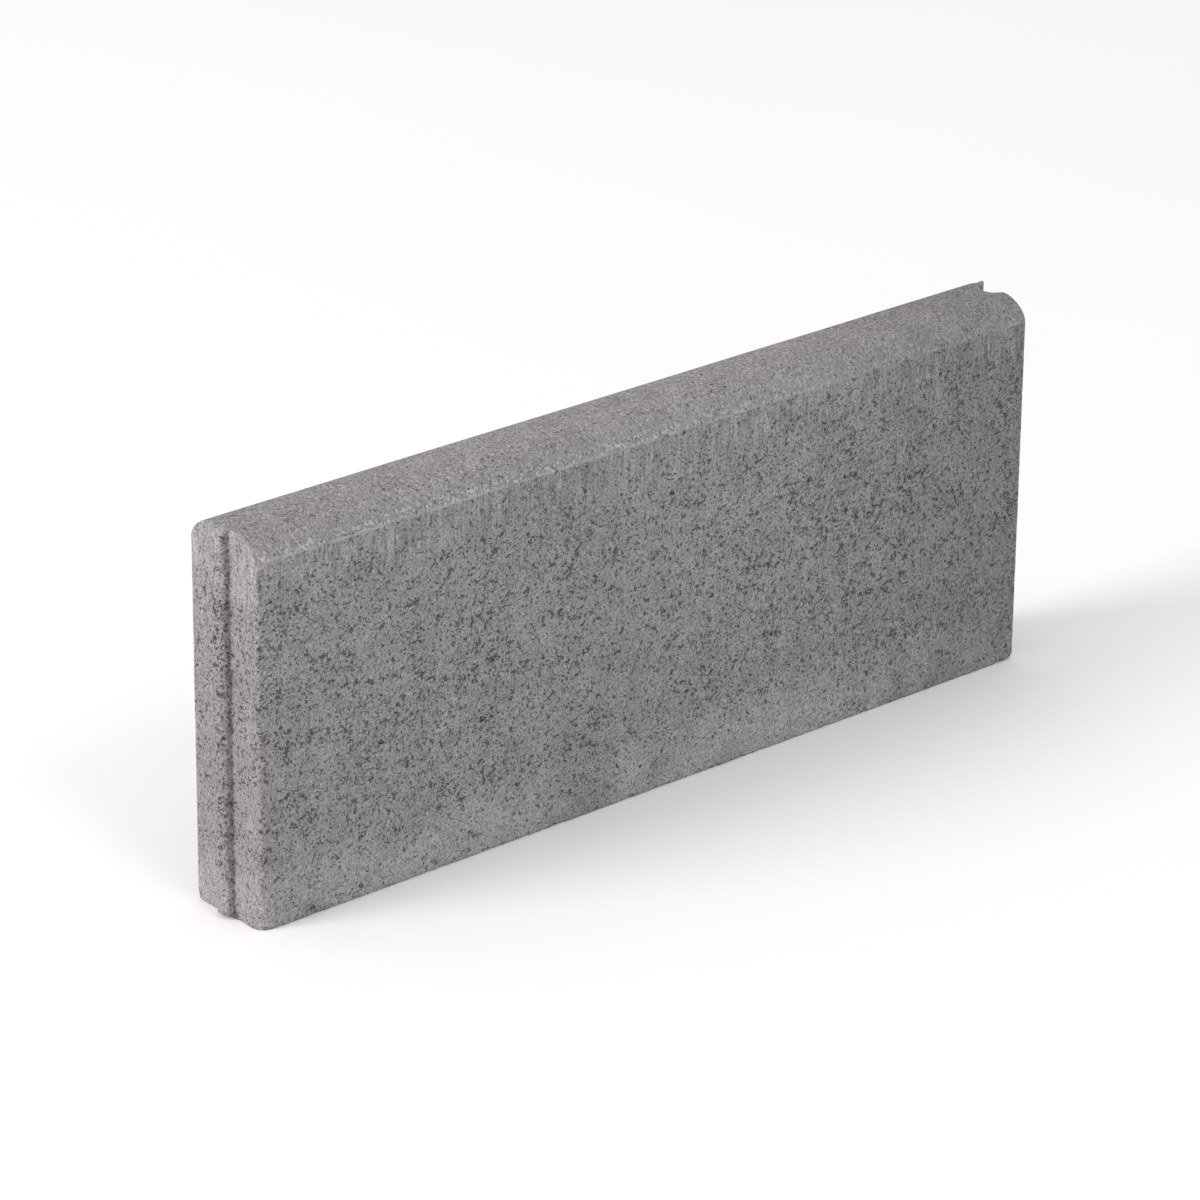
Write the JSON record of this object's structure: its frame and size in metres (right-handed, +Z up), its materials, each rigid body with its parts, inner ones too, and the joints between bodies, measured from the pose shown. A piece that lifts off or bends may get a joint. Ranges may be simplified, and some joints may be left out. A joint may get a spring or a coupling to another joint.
{
  "type": "concrete edging kerb",
  "caption": "Pressed concrete edging kerb, a straight slab on edge with a rounded crown, a round tongue down one end and a matching groove down the other.",
  "frame": {"origin": "middle of the bed face, halfway between the two end faces, which leaves the tongue out", "axes": "+X along the kerb towards the grooved end, +Y through its thickness, +Z up"},
  "size_m": [0.5055, 0.05, 0.2],
  "materials": {
    "core_mix": "open-textured grey pressed concrete with pores and pits between sand and fine gravel grains",
    "facing_mix": "finer and slightly lighter grey concrete, sandy on the crown, with vertical mould streaks on the sides"
  },
  "bodies": {
    "root": {"core_concrete": "core_mix", "facing_concrete": "facing_mix"}
  },
  "joints": []
}
